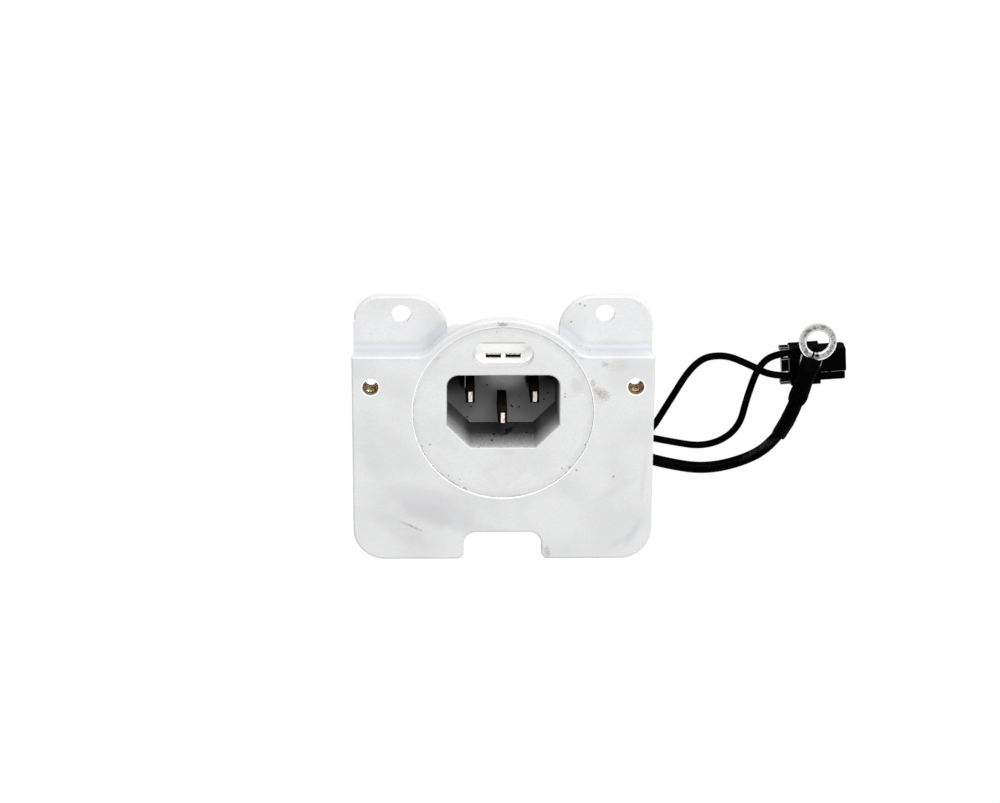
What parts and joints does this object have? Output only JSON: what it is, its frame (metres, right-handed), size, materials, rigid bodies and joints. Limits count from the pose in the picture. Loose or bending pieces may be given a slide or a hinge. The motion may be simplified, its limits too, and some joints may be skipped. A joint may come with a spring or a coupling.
{
  "type": "power socket",
  "caption": "Panel power inlet on a stepped plastic mounting bracket, with short leads to a small plug and a ring terminal.",
  "frame": {"origin": "on the socket's axis, at the rear rim of the inlet body that the object rests on", "axes": "+Z along the socket's axis and out of its face, +Y towards the mounting ears, +X to the right across the face, towards the leads"},
  "size_m": [0.11, 0.0586, 0.03],
  "materials": {
    "bracket_plastic": "fine satin moulding",
    "inlet_plastic": "satin moulding",
    "insert_plastic": "smooth moulding",
    "insert_brass": "turned and knurled",
    "contact_brass": "stamped strip",
    "plated_pin": "nickel plate, dulled",
    "heat_shrink": "dull sleeve",
    "lead_insulation": "soft sheen",
    "tinned_copper": "tinned, mottled",
    "plug_plastic": "black moulding",
    "contact_tin": "tinned strip"
  },
  "bodies": {
    "root": {"mounting_bracket": "bracket_plastic", "threaded_insert_left": "insert_brass", "threaded_insert_right": "insert_brass", "inlet_body": "inlet_plastic", "live_pin": "plated_pin", "neutral_pin": "plated_pin", "earth_pin": "plated_pin", "auxiliary_insert": "insert_plastic", "auxiliary_contact_left": "contact_brass", "auxiliary_contact_right": "contact_brass", "live_sleeve": "heat_shrink", "neutral_sleeve": "heat_shrink", "earth_sleeve": "heat_shrink", "live_lead": "lead_insulation", "neutral_lead": "lead_insulation", "earth_lead": "lead_insulation", "ring_terminal": "tinned_copper", "ring_sleeve": "heat_shrink", "ring_undersleeve": "heat_shrink", "plug_housing": "plug_plastic", "plug_lock": "plug_plastic", "plug_contact_neutral": "contact_tin", "plug_contact_live": "contact_tin"}
  },
  "joints": []
}
